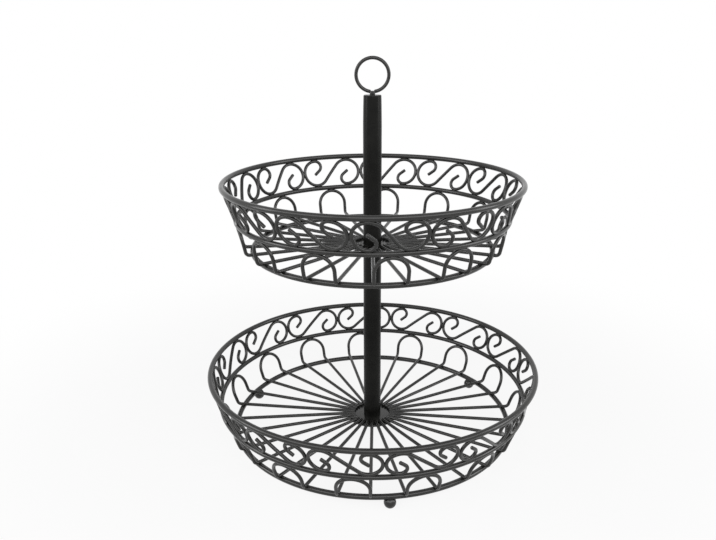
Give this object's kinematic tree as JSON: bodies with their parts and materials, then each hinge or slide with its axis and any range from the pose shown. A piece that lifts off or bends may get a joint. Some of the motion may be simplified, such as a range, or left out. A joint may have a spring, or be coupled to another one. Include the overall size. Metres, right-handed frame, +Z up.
{
  "type": "two-tier wire basket",
  "caption": "Round two-tier wire fruit basket: sloping scroll-work walls and spoked floors on a central pole with a ring handle, standing on small ball feet.",
  "frame": {"origin": "on the floor, under the axis of the central pole", "axes": "+Z up along the pole; -Y is the front that the picture shows; +X is its right"},
  "size_m": [0.2999, 0.2999, 0.3373],
  "materials": {
    "black_paint": "satin black powder coat",
    "zinc_steel": "zinc plated"
  },
  "bodies": {
    "root": {"ring_handle": "black_paint", "handle_stud": "black_paint", "top_cap": "black_paint", "upper_tube": "black_paint", "upper_hub": "black_paint", "upper_rim": "black_paint", "upper_middle_ring": "black_paint", "upper_base_ring": "black_paint", "upper_scrolls": "black_paint", "upper_arches": "black_paint", "lower_tube": "black_paint", "lower_hub": "black_paint", "lower_rim": "black_paint", "lower_middle_ring": "black_paint", "lower_base_ring": "black_paint", "lower_scrolls": "black_paint", "lower_arches": "black_paint", "ball_feet": "black_paint", "upper_tube_insert": "zinc_steel", "joining_stud": "zinc_steel", "lower_tube_top_insert": "zinc_steel", "lower_tube_bottom_insert": "zinc_steel", "base_screw": "zinc_steel", "base_washer": "zinc_steel"}
  },
  "joints": []
}
